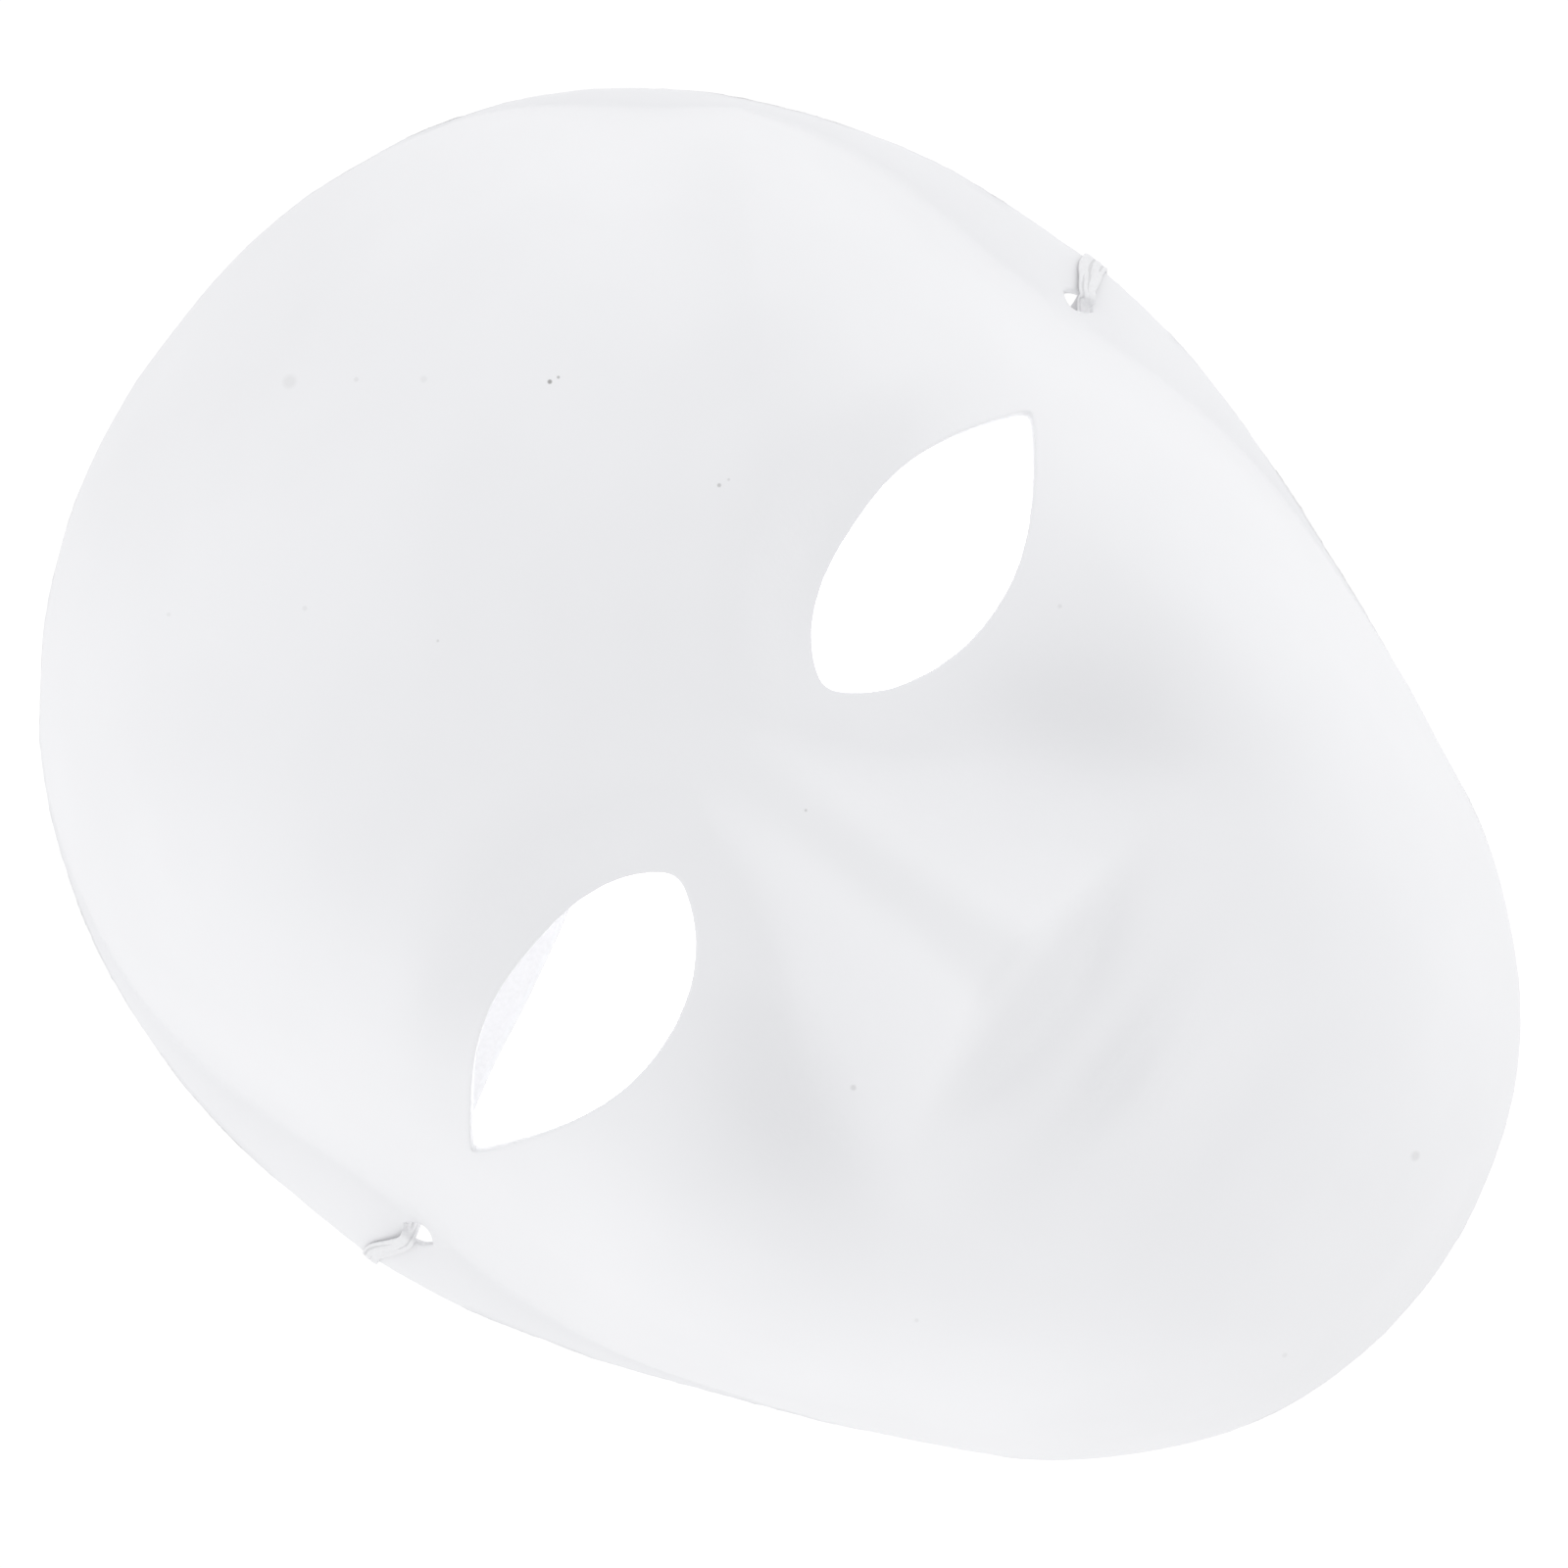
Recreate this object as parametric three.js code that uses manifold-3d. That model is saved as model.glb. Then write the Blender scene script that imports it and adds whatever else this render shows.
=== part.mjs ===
// A blank full-face mask, moulded as one thin shell, with a flat elastic tied through a slot at
// each temple. Millimetres. The mask lies on its rim: z = 0 is the rim plane, +Z points out of
// the face, +Y to the forehead, and x is measured from the face's middle line.

import * as THREE from 'three';
import { mergeVertices } from 'three/addons/utils/BufferGeometryUtils.js';
import Module from 'manifold-3d';

// ---- driving dimensions -------------------------------------------------------------------

const WALL = 1.2; // thickness of the moulded shell
const BELOW = -5; // the hollow is cut from this far under the rim plane
const CROWN = 60; // height of the plain dome above the rim plane
// distance from the origin to the rim, every 15 degrees from the forehead round to the chin
const RIM_RADII = [114.8, 114.5, 111.6, 105.6, 98.6, 92.3, 88.2, 85.4, 86.2, 92.4, 103.2, 112, 114.8];
// how boxy the dome is in each direction: higher numbers stay flat longer and fall away later
const DOME = { edgePower: 0.92, footSoftness: 0.3, forehead: 3.2, temple: 4.8, chin: 7 };
// the turned-out edge at each temple: width as a share of the radius, angles from the forehead,
// and how many widths it takes to level out
const FLANGE = { middle: 80, spread: 23, width: 0.09, height: 6.5, bend: 1.6 };
const SHOULDER = { middle: 41, spread: 9, share: 0.3 }; // a last trace of flange, right side only
const FLANGE_SLOPE = 0.82; // of the flange across its width, at the slots
const LIP_WIDTH = 0.012; // the strip that the flange's rings shrink to elsewhere
const BROW = { y: 30, fall: 8, peakX: 38, halfX: 24, height: 1.8 };
const SOCKET = { x: 34, spread: 24, depth: 4.2 };
const CHEEK_HOLLOW = { x: 29, y: -22, halfX: 13, halfY: 15, depth: 6.5 };
const NOSE = { axisX: -0.7, rootY: 16, rootZ: 57.5, rise: 0.356, tipY: -36, underZ: 75 };
// rounded mounds on the dome, or hollows where the height is negative
const MOUNDS = {
  muzzle: { x: 0, y: -58, halfX: 32, halfY: 19, height: 7 },
  mouth: { x: -2, y: -56, halfX: 17, halfY: 4.2, height: -4 },
  lowerLip: { x: 0, y: -62, halfX: 15, halfY: 4, height: 1 },
  lipHollow: { x: 0, y: -71, halfX: 17, halfY: 6, height: -2.5 },
  chin: { x: 0, y: -88, halfX: 24, halfY: 12, height: 3 },
  leftCheek: { x: -50, y: -46, halfX: 12, halfY: 15, height: -1.8 },
};
const EYE = { inner: 16.7, outer: 64.8, cornerY: 7.8, top: 18.3, bottom: -4.9, drift: -0.9 };
const EYE_LEVEL_STEP = 0.5; // the viewer's left eye hole sits this much higher, the right lower
const SLOT = { length: 5.6, width: 3 };
const RIM_LIFT = { height: 2, half: 16 }; // the rim rises a little where the elastic passes
const STRAP = { width: 5.5, thickness: 0.8, gathered: 3, folded: 1, level: 0.45 };
const KNOT = { x: 75.5, y: 12, z: 2.5, halfX: 3.6, halfY: 3, halfZ: 2.3 };
const EDGE_X = 89.4; // the flange's edge, where the elastic rounds it
const GAP = 0.3; // between pieces that touch
const SIDES = [
  { name: 'left', sign: -1, slotX: 82.3, slotY: 7.6, edgeY: 11.2 },
  { name: 'right', sign: 1, slotX: 83.2, slotY: 11.4, edgeY: 12.8 },
];
// the free elastic, from knot to knot, lying on the rim plane under the brow and forehead
const STRAP_ROUTE = [
  [-71.4, 12.8], [-58, 15.8], [-44, 18.2], [-30, 21.6], [-18, 28], [-8, 38], [0, 51], [9, 64],
  [21, 73.5], [35, 76], [47, 70], [55, 59], [59.5, 46], [62.5, 34], [66, 22.5], [71.4, 13.4],
];

const DOME_RINGS = 28;
const FLANGE_RINGS = 2;
const RINGS = DOME_RINGS + FLANGE_RINGS;
const SECTORS = 72;

// ---- small helpers ------------------------------------------------------------------------

const bell = (d) => Math.exp(-d * d);

function ramp(from, to, value) {
  const t = Math.min(1, Math.max(0, (value - from) / (to - from)));
  return t * t * (3 - 2 * t);
}

// the larger of two heights, with a round of radius about k where they cross
function softMax(a, b, k) {
  const h = Math.min(1, Math.max(0, 0.5 + (0.5 * (a - b)) / k));
  return b + (a - b) * h + k * h * (1 - h);
}

const softMin = (a, b, k) => -softMax(-a, -b, k);

// ---- the face -----------------------------------------------------------------------------

function rimRadius(angle) {
  const step = angle / 15;
  const i = Math.min(Math.floor(step), RIM_RADII.length - 2);
  const f = step - i;
  const at = (k) => RIM_RADII[k < 0 ? -k : k > 12 ? 24 - k : k];
  const [a, b, c, d] = [at(i - 1), at(i), at(i + 1), at(i + 2)];
  const bend = (2 * a - 5 * b + 4 * c - d) * f * f + (3 * b - a - 3 * c + d) * f * f * f;
  return 0.5 * (2 * b + (c - a) * f + bend);
}

function rimLift(x, y) {
  const side = SIDES[x < 0 ? 0 : 1];
  return RIM_LIFT.height * ramp(RIM_LIFT.half, 0, Math.abs(y - side.edgeY));
}

// how much of the full flange there is, at an angle from the forehead on one side
function flangeShare(angle, x) {
  const shoulder = x > 0 ? SHOULDER.share * bell((angle - SHOULDER.middle) / SHOULDER.spread) : 0;
  return Math.max(bell((angle - FLANGE.middle) / FLANGE.spread), shoulder);
}

// the plain dome, standing on its flange
function domeHeight(q, angle, x) {
  const fullness = DOME.forehead + (DOME.temple - DOME.forehead) * ramp(10, 60, angle) +
    (DOME.chin - DOME.temple) * ramp(85, 135, angle);
  const share = flangeShare(angle, x);
  const width = FLANGE.width * share;
  const inside = Math.min(1, q / (1 - width));
  const power = DOME.edgePower + DOME.footSoftness * share;
  const dome = CROWN * Math.pow(1 - Math.pow(inside, fullness), power);
  const across = Math.max(0, 1 - q) / Math.max(width, 1e-6); // 0 at the rim, 1 at the dome's foot
  const rise = (1 - Math.exp(-across / FLANGE.bend)) / (1 - Math.exp(-1 / FLANGE.bend));
  return Math.hypot(dome, FLANGE.height * share * rise * inside * inside);
}

function features(x, y) {
  const side = Math.abs(x);
  const browLine = BROW.y - BROW.fall * ((side - BROW.peakX) / BROW.halfX) ** 2;
  const overEye = bell((side - SOCKET.x) / SOCKET.spread);
  const socket = ramp(browLine + 1, browLine - 11, y) * ramp(-50, -10, y) * overEye;
  const brow = bell((y - browLine - 3) / 7) * overEye;
  const below = CHEEK_HOLLOW.y - y; // the hollow narrows downwards and leans outwards
  const hollowAcross = (side - CHEEK_HOLLOW.x - 0.3 * below) / (CHEEK_HOLLOW.halfX - 0.25 * below);
  const cheekHollow = bell(hollowAcross) * bell((below - 1) / CHEEK_HOLLOW.halfY);
  let height = BROW.height * brow - SOCKET.depth * socket - CHEEK_HOLLOW.depth * cheekHollow;
  for (const mound of Object.values(MOUNDS)) {
    const away = Math.hypot((x - mound.x) / mound.halfX, (y - mound.y) / mound.halfY);
    height += mound.height * bell(away);
  }
  return height;
}

// the ridge falls away to a flank on each side, and to the nose's underside below the tip
function noseHeight(x, y) {
  const half = 3.5 + 6 * ramp(10, 34, y) + bell((y - NOSE.tipY) / 8);
  const side = softMax(Math.abs(x - NOSE.axisX) - half, 0, 3);
  const ridge = NOSE.rootZ + NOSE.rise * Math.max(0, NOSE.rootY - y) - 0.9 * softMax(y - 32, 0, 14);
  const flank = ridge - (1.15 - 0.2 * ramp(-5, -36, y)) * side;
  const under = NOSE.underZ + 1.5 * (y - NOSE.tipY) - 0.5 * side;
  return softMin(flank, under, 5);
}

function faceHeight(q, angle, x, y) {
  const dome = domeHeight(q, angle, x);
  const edgeFade = 1 - Math.pow(q, 10);
  const face = dome + features(x, y) * edgeFade;
  const nosed = q < 0.8 ? softMax(face, noseHeight(x, y), 5) : face;
  return nosed + rimLift(x, y) * Math.pow(q, 10) * (Math.abs(x) > 60 ? 1 : 0);
}

// ring 0 is the middle; the dome's rings draw together towards its steep foot, where the
// flange's rings take over
function facePoint(ring, turn) {
  const angle = THREE.MathUtils.radToDeg(Math.min(turn, 2 * Math.PI - turn));
  const width = Math.max(LIP_WIDTH, FLANGE.width * flangeShare(angle, Math.PI - turn));
  const onFlange = Math.max(0, ring - DOME_RINGS) / FLANGE_RINGS;
  const share = Math.min(ring / DOME_RINGS, 1);
  const onDome = (share + Math.sin((share * Math.PI) / 2)) / 2;
  const q = (1 - width) * onDome + width * onFlange;
  const r = q * rimRadius(angle);
  const [x, y] = [r * Math.sin(turn), r * Math.cos(turn)];
  return new THREE.Vector3(x, y, faceHeight(q, angle, x, y));
}

function faceRings() {
  const rings = [];
  for (let k = 1; k <= RINGS; k++) {
    const ring = [];
    for (let s = 0; s < SECTORS; s++) ring.push(facePoint(k, (s / SECTORS) * 2 * Math.PI));
    rings.push(ring);
  }
  return rings;
}

// a closed body: a domed skin of rings round a middle point, closed below by a fan
function domedBody(middle, rings, floorPoint) {
  const points = [middle, ...rings.flat(), floorPoint];
  const index = [];
  const at = (k, s) => 1 + k * SECTORS + (s % SECTORS);
  const last = rings.length - 1;
  for (let s = 0; s < SECTORS; s++) {
    index.push(0, at(0, s + 1), at(0, s));
    for (let k = 0; k < last; k++) {
      index.push(at(k, s), at(k, s + 1), at(k + 1, s));
      index.push(at(k, s + 1), at(k + 1, s + 1), at(k + 1, s));
    }
    index.push(at(last, s), at(last, s + 1), points.length - 1);
  }
  const geometry = new THREE.BufferGeometry().setFromPoints(points);
  geometry.setIndex(index);
  return geometry;
}

// the same skin moved inwards by the wall, carried on down below the rim
function hollowBody(outer, rings) {
  outer.computeVertexNormals();
  const normals = outer.getAttribute('normal');
  const inward = (point, i) => {
    const normal = new THREE.Vector3().fromBufferAttribute(normals, i);
    return point.clone().addScaledVector(normal, -WALL);
  };
  // the rim ring takes the normals of the ring before it, which the floor fan doesn't touch
  const row = (k) => 1 + Math.min(k, RINGS - 2) * SECTORS;
  const moved = rings.map((ring, k) => ring.map((p, s) => inward(p, row(k) + s)));
  const below = moved[RINGS - 1].map((p) => new THREE.Vector3(p.x, p.y, BELOW));
  return domedBody(inward(facePoint(0, 0), 0), [...moved, below], new THREE.Vector3(0, 0, BELOW));
}

function eyeCutter(sign) {
  const { inner, outer, cornerY, top, bottom } = EYE;
  const outline = new THREE.Shape();
  outline.moveTo(outer, cornerY);
  outline.bezierCurveTo(56, cornerY + 7, 50, top, 40.5, top);
  outline.bezierCurveTo(29, top, 20, cornerY + 8, inner, cornerY);
  outline.bezierCurveTo(19.5, cornerY - 8, 28, bottom, 37.5, bottom);
  outline.bezierCurveTo(48, bottom, 57, cornerY - 7, outer, cornerY);
  const cutter = new THREE.ExtrudeGeometry(outline, { depth: 80, bevelEnabled: false, curveSegments: 8 });
  if (sign < 0) {
    cutter.scale(-1, 1, 1);
    flipFaces(cutter);
  }
  return cutter.translate(EYE.drift, -sign * EYE_LEVEL_STEP, 20);
}

function slotCutter(side) {
  const half = SLOT.length / 2;
  const outline = new THREE.Shape();
  outline.moveTo(0, -half);
  const bulge = (SLOT.width / 2) / 0.75;
  outline.bezierCurveTo(bulge, -half / 2, bulge, half / 2, 0, half);
  outline.bezierCurveTo(-bulge, half / 2, -bulge, -half / 2, 0, -half);
  const cutter = new THREE.ExtrudeGeometry(outline, { depth: 30, bevelEnabled: false, curveSegments: 6 });
  return cutter.translate(side.sign * side.slotX, side.slotY, -10);
}

// ---- booleans -----------------------------------------------------------------------------

const wasm = await Module();
wasm.setup();

function flipFaces(geometry) {
  const position = geometry.getAttribute('position');
  const [a, b] = [new THREE.Vector3(), new THREE.Vector3()];
  for (let i = 0; i < position.count; i += 3) {
    a.fromBufferAttribute(position, i);
    b.fromBufferAttribute(position, i + 1);
    position.setXYZ(i, b.x, b.y, b.z);
    position.setXYZ(i + 1, a.x, a.y, a.z);
  }
}

function solidOf(geometry) {
  const bare = geometry.clone();
  bare.deleteAttribute('normal');
  bare.deleteAttribute('uv');
  const merged = mergeVertices(bare, 1e-4);
  const vertProperties = new Float32Array(merged.getAttribute('position').array);
  const triVerts = new Uint32Array(merged.index.array);
  return new wasm.Manifold(new wasm.Mesh({ numProp: 3, vertProperties, triVerts }));
}

function geometryOf(solid) {
  const mesh = solid.getMesh();
  const geometry = new THREE.BufferGeometry();
  geometry.setAttribute('position', new THREE.BufferAttribute(mesh.vertProperties, 3));
  geometry.setIndex(new THREE.BufferAttribute(mesh.triVerts, 1));
  geometry.computeVertexNormals();
  return geometry;
}

// ---- the pieces ---------------------------------------------------------------------------

function maskShell() {
  const rings = faceRings();
  const outer = domedBody(facePoint(0, 0), rings, new THREE.Vector3(0, 0, 0));
  let shell = solidOf(outer).subtract(solidOf(hollowBody(outer, rings)));
  for (const side of SIDES) {
    shell = shell.subtract(solidOf(eyeCutter(side.sign)));
    shell = shell.subtract(solidOf(slotCutter(side)));
  }
  return geometryOf(shell);
}

// a flat band with softened edges along a curve, as one closed body; acrossOf says which way its
// width lies for a given direction of the curve
function band(points, width, thickness, steps, acrossOf) {
  const curve = new THREE.CatmullRomCurve3(points, false, 'centripetal');
  const section = [[-1, -0.4], [-0.8, -1], [0.8, -1], [1, -0.4], [1, 0.4], [0.8, 1], [-0.8, 1], [-1, 0.4]];
  const corners = [];
  const index = [];
  const sides = section.length;
  for (let i = 0; i <= steps; i++) {
    const along = curve.getTangentAt(i / steps);
    const across = acrossOf(along).normalize();
    const up = new THREE.Vector3().crossVectors(along, across);
    for (const [a, b] of section) {
      const corner = curve.getPointAt(i / steps);
      corner.addScaledVector(across, (a * width) / 2).addScaledVector(up, (b * thickness) / 2);
      corners.push(corner);
    }
    for (let k = 0; k < sides && i < steps; k++) {
      const [here, next] = [i * sides + k, i * sides + ((k + 1) % sides)];
      index.push(here, next, here + sides, next, next + sides, here + sides);
    }
  }
  for (let k = 1; k < sides - 1; k++) {
    const end = steps * sides;
    index.push(0, k + 1, k, end, end + k, end + k + 1);
  }
  const geometry = new THREE.BufferGeometry().setFromPoints(corners);
  geometry.setIndex(index);
  geometry.computeVertexNormals();
  return geometry;
}

function elasticStrap() {
  const points = STRAP_ROUTE.map(([x, y]) => new THREE.Vector3(x, y, STRAP.level));
  const level = (along) => new THREE.Vector3(-along.y, along.x, 0);
  return band(points, STRAP.width, STRAP.thickness, 56, level);
}

// from the knot up through the slot, out over the flange, round its edge and back to the knot
function strapLoop(side) {
  const { sign, slotX, slotY, edgeY } = side;
  const flangeZ = (x) => FLANGE_SLOPE * (EDGE_X - x) + RIM_LIFT.height;
  const start = KNOT.x + KNOT.halfX + 2 * GAP;
  const under = 0.1 + STRAP.folded / 2;
  const route = [
    [start, KNOT.y - 1.5, 2.6],
    [slotX - 0.6, slotY + 0.3, 3.4],
    [slotX + 0.35, slotY, flangeZ(slotX) - 0.8],
    [slotX + 0.7, slotY + 0.1, flangeZ(slotX + 0.7) + 0.8],
    [slotX + 1.8, slotY + 0.8, flangeZ(slotX + 1.8) + 1.3],
    [slotX + 3.6, (slotY + edgeY) / 2, flangeZ(slotX + 3.6) + 1.3],
    [EDGE_X - 0.6, edgeY, flangeZ(EDGE_X - 0.6) + 1.1],
    [EDGE_X + 0.9, edgeY, 1.9],
    [EDGE_X - 0.2, edgeY, 0.75],
    [EDGE_X - 2, edgeY, under],
    [EDGE_X - 5.5, edgeY, under],
    [start + 2, KNOT.y + 0.6, 0.8],
    [start, KNOT.y + 0.4, 1.3],
  ];
  const points = route.map(([x, y, z]) => new THREE.Vector3(sign * x, y, z));
  const alongRim = (along) => new THREE.Vector3(0, 1, 0).addScaledVector(along, -along.y);
  return band(points, STRAP.gathered, STRAP.folded, 44, alongRim);
}

// the overhand knot's outer shape, slightly waisted where the turns cross
function strapKnot(side) {
  const knot = new THREE.SphereGeometry(1, 16, 10);
  const position = knot.getAttribute('position');
  for (let i = 0; i < position.count; i++) {
    const [x, y, z] = [position.getX(i), position.getY(i), position.getZ(i)];
    const waist = 1 - 0.16 * bell(x / 0.35);
    position.setXYZ(i, x * KNOT.halfX, y * KNOT.halfY * waist, z * KNOT.halfZ * waist);
  }
  return knot.translate(side.sign * KNOT.x, KNOT.y, KNOT.z);
}

// ---- the scene ----------------------------------------------------------------------------

const pulp = new THREE.MeshStandardMaterial({ color: 0xe9e9ec, roughness: 0.85, metalness: 0 });
const elastic = new THREE.MeshStandardMaterial({ color: 0xe4e4e6, roughness: 0.9, metalness: 0 });

const mask = new THREE.Group();

function add(name, geometry, material) {
  const mesh = new THREE.Mesh(geometry, material);
  mesh.name = name;
  mask.add(mesh);
}

add('mask_shell', maskShell(), pulp);
add('elastic_strap', elasticStrap(), elastic.clone());
for (const side of SIDES) {
  add(`${side.name}_strap_loop`, strapLoop(side), elastic.clone());
  add(`${side.name}_strap_knot`, strapKnot(side), elastic.clone());
}

export default mask;
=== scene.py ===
import math

import bpy
import numpy as np
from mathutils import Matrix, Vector, noise
from mathutils.geometry import delaunay_2d_cdt


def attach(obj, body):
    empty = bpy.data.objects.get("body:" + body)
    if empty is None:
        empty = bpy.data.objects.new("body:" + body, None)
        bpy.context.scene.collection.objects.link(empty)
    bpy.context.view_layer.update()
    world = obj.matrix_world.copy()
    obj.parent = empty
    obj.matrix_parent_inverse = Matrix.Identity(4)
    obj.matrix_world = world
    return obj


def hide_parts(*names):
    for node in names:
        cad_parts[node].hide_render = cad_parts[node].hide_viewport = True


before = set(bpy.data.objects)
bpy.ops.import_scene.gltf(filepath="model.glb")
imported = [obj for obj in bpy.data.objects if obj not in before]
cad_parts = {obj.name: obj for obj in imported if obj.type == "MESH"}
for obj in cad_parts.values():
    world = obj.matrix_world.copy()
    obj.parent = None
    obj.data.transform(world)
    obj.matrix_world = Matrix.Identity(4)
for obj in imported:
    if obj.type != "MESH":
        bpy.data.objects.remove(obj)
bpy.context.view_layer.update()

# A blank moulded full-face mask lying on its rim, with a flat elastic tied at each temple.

# ---- sizes, in millimetres, in the frame of the CAD model ------------------------------

MM = 0.001
WALL = 1.2
CROWN = 60.0
RIM_RADII = [114.8, 114.5, 111.6, 105.6, 98.6, 92.3, 88.2, 85.4, 86.2, 92.4, 103.2, 112, 114.8]
DOME_EDGE_POWER, FOOT_SOFTNESS = 0.92, 0.3  # the dome's foot is softer where it meets the flange
FOREHEAD_FULLNESS, TEMPLE_FULLNESS, CHIN_FULLNESS = 3.2, 4.8, 7.0
FLANGE_MIDDLE, FLANGE_SPREAD = 80.0, 23.0
FLANGE_WIDTH, FLANGE_HEIGHT = 0.09, 6.5  # at the temples; the width is a share of the radius
FLANGE_BEND = 1.6  # how gradually it levels out, in widths
SHOULDER_MIDDLE, SHOULDER_SPREAD, SHOULDER_SHARE = 41.0, 9.0, 0.3  # only on the right
LIP_WIDTH = 0.012  # the strip that the flange's rings of points shrink to elsewhere
RIM_LIFT, RIM_LIFT_HALF = 2.0, 16.0
BROW_Y, BROW_FALL, BROW_PEAK_X, BROW_HALF_X, BROW_HEIGHT = 30, 8, 38, 24, 1.8
SOCKET_X, SOCKET_SPREAD, SOCKET_DEPTH = 34, 24, 4.2
HOLLOW_X, HOLLOW_Y, HOLLOW_HALF_X, HOLLOW_HALF_Y, HOLLOW_DEPTH = 29, -22, 13, 15, 6.5  # cheeks
NOSE_AXIS_X, NOSE_ROOT_Y, NOSE_ROOT_Z, NOSE_RISE = -0.7, 16, 57.5, 0.356
NOSE_TIP_Y, NOSE_UNDER_Z = -36, 75
# rounded mounds on the dome, or hollows: middle across and along, half sizes, and height
MOUNDS = [
    (0, -58, 32, 19, 7.0),  # muzzle
    (-2, -56, 17, 4.2, -4.0),  # mouth
    (0, -62, 15, 4, 1.0),  # lower lip
    (0, -71, 17, 6, -2.5),  # the hollow under it
    (0, -88, 24, 12, 3.0),  # chin
    (-50, -46, 12, 15, -1.8),  # the left cheek is flatter low down
]
EYE_INNER, EYE_OUTER, EYE_CORNER_Y, EYE_TOP, EYE_BOTTOM = 15.9, 66.1, 7.8, 18.4, -5.0
EYE_DRIFT, EYE_LEVEL_STEP = -0.9, 0.5  # both holes lie left of the middle, the left one higher
EYE_POINTS, EYE_BLUNTING = 230, 20  # points round each hole, and passes that blunt its corners
SLOT_LENGTH, SLOT_WIDTH = 5.6, 3.0
SIDES = {
    -1: {"slot": (82.3, 7.6), "edge_y": 11.2, "under_y": 11.8, "lean": 0.9, "spread": 2.7},
    1: {"slot": (83.2, 11.4), "edge_y": 12.8, "under_y": 10.2, "lean": -0.9, "spread": 4.0},
}
FLANGE_SLOPE = 0.82  # across its width, at the slots
EDGE_X = 89.4  # the flange's edge, where the elastic rounds it
KNOT = Vector((75.5, 12.0, 2.5))
KNOT_HALF = Vector((3.6, 3.0, 2.3))
STRAP_WIDTH, STRAP_THICKNESS = 5.5, 0.8
STRAP_LEVEL = 0.45
SLOT_GATHER, LOOP_THICKNESS = 2.3, 0.75  # the crushed braid's width in the slot, and thickness
KNOT_ROPE = 0.98  # half the width of the crushed braid in the knots
STRAP_ROUTE = [
    (-71.4, 12.8), (-58, 15.8), (-44, 18.2), (-30, 21.6), (-18, 28), (-8, 38), (0, 51), (9, 64),
    (21, 73.5), (35, 76), (47, 70), (55, 59), (59.5, 46), (62.5, 34), (66, 22.5), (71.4, 13.4),
]
VIEW_TURN = math.radians(53.4)  # the mask's forehead leans this far round in the picture


# ---- curves and ramps ------------------------------------------------------------------

def bell(d):
    return np.exp(-d * d)


def ramp(start, end, value):
    t = np.clip((value - start) / (end - start), 0, 1)
    return t * t * (3 - 2 * t)


def soft_max(a, b, k):
    """The larger of two heights, with a round of radius about k where they cross."""
    h = np.clip(0.5 + 0.5 * (a - b) / k, 0, 1)
    return b + (a - b) * h + k * h * (1 - h)


def smooth_path(points, count):
    """Points evenly spread along a centripetal Catmull-Rom curve through the given ones."""
    p = [np.array(q, float) for q in points]
    p = [2 * p[0] - p[1]] + p + [2 * p[-1] - p[-2]]
    fine = []
    for a, b, c, d in zip(p, p[1:], p[2:], p[3:]):
        t0 = 0.0
        t1 = t0 + np.linalg.norm(b - a) ** 0.5
        t2 = t1 + np.linalg.norm(c - b) ** 0.5
        t3 = t2 + np.linalg.norm(d - c) ** 0.5
        for t in np.linspace(t1, t2, 24, endpoint=False):
            ab = a + (b - a) * (t - t0) / (t1 - t0)
            bc = b + (c - b) * (t - t1) / (t2 - t1)
            cd = c + (d - c) * (t - t2) / (t3 - t2)
            abc = ab + (bc - ab) * (t - t0) / (t2 - t0)
            bcd = bc + (cd - bc) * (t - t1) / (t3 - t1)
            fine.append(abc + (bcd - abc) * (t - t1) / (t2 - t1))
    fine.append(p[-2])
    fine = np.array(fine)
    run = np.concatenate([[0], np.cumsum(np.linalg.norm(np.diff(fine, axis=0), axis=1))])
    wanted = np.linspace(0, run[-1], count)
    return np.stack([np.interp(wanted, run, fine[:, k]) for k in range(fine.shape[1])], 1)


# ---- the face --------------------------------------------------------------------------

def rim_radius(angle):
    """Distance to the rim at an angle from the forehead, in degrees."""
    step = np.clip(angle / 15, 0, 11.999)
    i = np.floor(step).astype(int)
    f = step - i
    radii = np.array([RIM_RADII[1]] + RIM_RADII + [RIM_RADII[-2]])
    a, b, c, d = radii[i], radii[i + 1], radii[i + 2], radii[i + 3]
    bend = (2 * a - 5 * b + 4 * c - d) * f**2 + (3 * b - a - 3 * c + d) * f**3
    return 0.5 * (2 * b + (c - a) * f + bend)


def flange_share(angle, right):
    """How much of the full flange there is, at an angle from the forehead on one side."""
    shoulder = SHOULDER_SHARE * bell((angle - SHOULDER_MIDDLE) / SHOULDER_SPREAD) * right
    return np.maximum(bell((angle - FLANGE_MIDDLE) / FLANGE_SPREAD), shoulder)


def dome_height(q, angle, right):
    """The plain dome on its flange; q is 0 at the middle and 1 at the rim."""
    fullness = (FOREHEAD_FULLNESS + (TEMPLE_FULLNESS - FOREHEAD_FULLNESS) * ramp(10, 60, angle)
                + (CHIN_FULLNESS - TEMPLE_FULLNESS) * ramp(85, 135, angle))
    share = flange_share(angle, right)
    width = FLANGE_WIDTH * share
    inside = np.minimum(1, q / (1 - width))
    dome = CROWN * (1 - inside**fullness) ** (DOME_EDGE_POWER + FOOT_SOFTNESS * share)
    across = np.maximum(1 - q, 0) / np.maximum(width, 1e-6)  # 0 at the rim, 1 at the dome's foot
    rise = (1 - np.exp(-across / FLANGE_BEND)) / (1 - math.exp(-1 / FLANGE_BEND))
    return np.hypot(dome, FLANGE_HEIGHT * share * rise * inside**2)


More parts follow.
